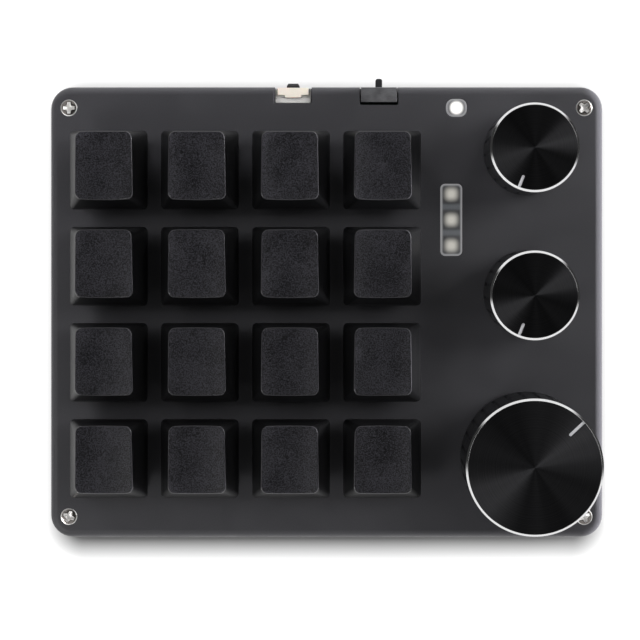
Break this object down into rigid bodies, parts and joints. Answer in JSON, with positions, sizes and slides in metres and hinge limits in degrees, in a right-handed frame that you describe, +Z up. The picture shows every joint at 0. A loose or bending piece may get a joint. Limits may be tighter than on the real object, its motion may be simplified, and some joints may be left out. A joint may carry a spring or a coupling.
{
  "type": "macro keypad with knobs",
  "caption": "Low desk keypad with a square field of sprung keys, rotary knobs that turn and press, light windows, and a slide switch and button on its rear edge.",
  "frame": {"origin": "on the desk, at the middle of the footprint with the slide lever counted in it", "axes": "+X right along the case's longest side, +Y towards the rear edge with the slide switch, +Z up out of the key field"},
  "size_m": [0.13, 0.108, 0.033],
  "materials": {
    "case_black": "fine matte black coating",
    "cover_black": "matte moulded plastic",
    "screw_nickel": "bright nickel plating",
    "foot_rubber": "soft matte rubber",
    "board_green": "solder mask over glass fibre",
    "battery_foil": "dull foil pouch",
    "housing_grey": "moulded nylon",
    "cover_plastic": "moulded polycarbonate",
    "spring_brass": "plated wire",
    "keycap_black": "fine grained matte black",
    "stem_brown": "smooth moulded plastic",
    "encoder_grey": "die-cast zinc",
    "plunger_white": "moulded nylon",
    "shaft_steel": "turned steel",
    "knob_black": "spun black anodised with a bright turned ring",
    "can_steel": "dull plated sheet",
    "lever_black": "moulded plastic",
    "bracket_metal": "plated sheet",
    "block_ivory": "moulded nylon",
    "window_frost": "frosted diffuser",
    "light_warm": "lit diffuser",
    "socket_steel": "plated sheet"
  },
  "bodies": {
    "case": {"top_case": "case_black", "bottom_case": "cover_black", "case_screws": "screw_nickel", "rubber_feet": "foot_rubber", "circuit_board": "board_green", "battery": "battery_foil", "switch_housings": "housing_grey", "switch_covers": "cover_plastic", "switch_springs": "spring_brass", "encoder_bodies": "encoder_grey", "slide_can": "can_steel", "button_bracket": "bracket_metal", "button_block": "block_ivory", "status_window": "window_frost", "layer_window": "window_frost", "indicator_leds": "light_warm", "usb_socket": "socket_steel"},
    "key_r1c1": {"keycap_r1c1": "keycap_black", "stem_r1c1": "stem_brown"},
    "key_r1c2": {"keycap_r1c2": "keycap_black", "stem_r1c2": "stem_brown"},
    "key_r1c3": {"keycap_r1c3": "keycap_black", "stem_r1c3": "stem_brown"},
    "key_r1c4": {"keycap_r1c4": "keycap_black", "stem_r1c4": "stem_brown"},
    "key_r2c1": {"keycap_r2c1": "keycap_black", "stem_r2c1": "stem_brown"},
    "key_r2c2": {"keycap_r2c2": "keycap_black", "stem_r2c2": "stem_brown"},
    "key_r2c3": {"keycap_r2c3": "keycap_black", "stem_r2c3": "stem_brown"},
    "key_r2c4": {"keycap_r2c4": "keycap_black", "stem_r2c4": "stem_brown"},
    "key_r3c1": {"keycap_r3c1": "keycap_black", "stem_r3c1": "stem_brown"},
    "key_r3c2": {"keycap_r3c2": "keycap_black", "stem_r3c2": "stem_brown"},
    "key_r3c3": {"keycap_r3c3": "keycap_black", "stem_r3c3": "stem_brown"},
    "key_r3c4": {"keycap_r3c4": "keycap_black", "stem_r3c4": "stem_brown"},
    "key_r4c1": {"keycap_r4c1": "keycap_black", "stem_r4c1": "stem_brown"},
    "key_r4c2": {"keycap_r4c2": "keycap_black", "stem_r4c2": "stem_brown"},
    "key_r4c3": {"keycap_r4c3": "keycap_black", "stem_r4c3": "stem_brown"},
    "key_r4c4": {"keycap_r4c4": "keycap_black", "stem_r4c4": "stem_brown"},
    "push_upper": {"plunger_upper": "plunger_white"},
    "turn_upper": {"shaft_upper": "shaft_steel", "knob_upper": "knob_black"},
    "push_middle": {"plunger_middle": "plunger_white"},
    "turn_middle": {"shaft_middle": "shaft_steel", "knob_middle": "knob_black"},
    "push_large": {"plunger_large": "plunger_white"},
    "turn_large": {"shaft_large": "shaft_steel", "knob_large": "knob_black"},
    "lever": {"slide_lever": "lever_black"},
    "button": {"layer_button": "lever_black"}
  },
  "joints": [
    {"name": "key_r1c1_press", "type": "slide", "parent": "case", "child": "key_r1c1", "axis": [0, 0, -1], "range_m": [0, 0.004], "stiffness_N_per_m": 100, "springref_m": -0.003, "deforming": ["switch_springs"]},
    {"name": "key_r1c2_press", "type": "slide", "parent": "case", "child": "key_r1c2", "axis": [0, 0, -1], "range_m": [0, 0.004], "stiffness_N_per_m": 100, "springref_m": -0.003, "deforming": ["switch_springs"]},
    {"name": "key_r1c3_press", "type": "slide", "parent": "case", "child": "key_r1c3", "axis": [0, 0, -1], "range_m": [0, 0.004], "stiffness_N_per_m": 100, "springref_m": -0.003, "deforming": ["switch_springs"]},
    {"name": "key_r1c4_press", "type": "slide", "parent": "case", "child": "key_r1c4", "axis": [0, 0, -1], "range_m": [0, 0.004], "stiffness_N_per_m": 100, "springref_m": -0.003, "deforming": ["switch_springs"]},
    {"name": "key_r2c1_press", "type": "slide", "parent": "case", "child": "key_r2c1", "axis": [0, 0, -1], "range_m": [0, 0.004], "stiffness_N_per_m": 100, "springref_m": -0.003, "deforming": ["switch_springs"]},
    {"name": "key_r2c2_press", "type": "slide", "parent": "case", "child": "key_r2c2", "axis": [0, 0, -1], "range_m": [0, 0.004], "stiffness_N_per_m": 100, "springref_m": -0.003, "deforming": ["switch_springs"]},
    {"name": "key_r2c3_press", "type": "slide", "parent": "case", "child": "key_r2c3", "axis": [0, 0, -1], "range_m": [0, 0.004], "stiffness_N_per_m": 100, "springref_m": -0.003, "deforming": ["switch_springs"]},
    {"name": "key_r2c4_press", "type": "slide", "parent": "case", "child": "key_r2c4", "axis": [0, 0, -1], "range_m": [0, 0.004], "stiffness_N_per_m": 100, "springref_m": -0.003, "deforming": ["switch_springs"]},
    {"name": "key_r3c1_press", "type": "slide", "parent": "case", "child": "key_r3c1", "axis": [0, 0, -1], "range_m": [0, 0.004], "stiffness_N_per_m": 100, "springref_m": -0.003, "deforming": ["switch_springs"]},
    {"name": "key_r3c2_press", "type": "slide", "parent": "case", "child": "key_r3c2", "axis": [0, 0, -1], "range_m": [0, 0.004], "stiffness_N_per_m": 100, "springref_m": -0.003, "deforming": ["switch_springs"]},
    {"name": "key_r3c3_press", "type": "slide", "parent": "case", "child": "key_r3c3", "axis": [0, 0, -1], "range_m": [0, 0.004], "stiffness_N_per_m": 100, "springref_m": -0.003, "deforming": ["switch_springs"]},
    {"name": "key_r3c4_press", "type": "slide", "parent": "case", "child": "key_r3c4", "axis": [0, 0, -1], "range_m": [0, 0.004], "stiffness_N_per_m": 100, "springref_m": -0.003, "deforming": ["switch_springs"]},
    {"name": "key_r4c1_press", "type": "slide", "parent": "case", "child": "key_r4c1", "axis": [0, 0, -1], "range_m": [0, 0.004], "stiffness_N_per_m": 100, "springref_m": -0.003, "deforming": ["switch_springs"]},
    {"name": "key_r4c2_press", "type": "slide", "parent": "case", "child": "key_r4c2", "axis": [0, 0, -1], "range_m": [0, 0.004], "stiffness_N_per_m": 100, "springref_m": -0.003, "deforming": ["switch_springs"]},
    {"name": "key_r4c3_press", "type": "slide", "parent": "case", "child": "key_r4c3", "axis": [0, 0, -1], "range_m": [0, 0.004], "stiffness_N_per_m": 100, "springref_m": -0.003, "deforming": ["switch_springs"]},
    {"name": "key_r4c4_press", "type": "slide", "parent": "case", "child": "key_r4c4", "axis": [0, 0, -1], "range_m": [0, 0.004], "stiffness_N_per_m": 100, "springref_m": -0.003, "deforming": ["switch_springs"]},
    {"name": "knob_upper_press", "type": "slide", "parent": "case", "child": "push_upper", "axis": [0, 0, -1], "range_m": [0, 0.0005], "stiffness_N_per_m": 800, "springref_m": -0.004},
    {"name": "knob_upper_turn", "type": "hinge", "parent": "push_upper", "child": "turn_upper", "pos_m": [0.0467, 0.0365, 0.01], "axis": [0, 0, 1], "continuous": true},
    {"name": "knob_middle_press", "type": "slide", "parent": "case", "child": "push_middle", "axis": [0, 0, -1], "range_m": [0, 0.0005], "stiffness_N_per_m": 800, "springref_m": -0.004},
    {"name": "knob_middle_turn", "type": "hinge", "parent": "push_middle", "child": "turn_middle", "pos_m": [0.0467, 0.0035, 0.01], "axis": [0, 0, 1], "continuous": true},
    {"name": "knob_large_press", "type": "slide", "parent": "case", "child": "push_large", "axis": [0, 0, -1], "range_m": [0, 0.0005], "stiffness_N_per_m": 800, "springref_m": -0.004},
    {"name": "knob_large_turn", "type": "hinge", "parent": "push_large", "child": "turn_large", "pos_m": [0.0467, -0.0349, 0.01], "axis": [0, 0, 1], "continuous": true},
    {"name": "slide_lever_shift", "type": "slide", "parent": "case", "child": "lever", "axis": [1, 0, 0], "range_m": [-0.002, 0.002]},
    {"name": "layer_button_press", "type": "slide", "parent": "case", "child": "button", "axis": [0, -1, 0], "range_m": [0, 0.0003], "stiffness_N_per_m": 400, "springref_m": -0.001}
  ]
}
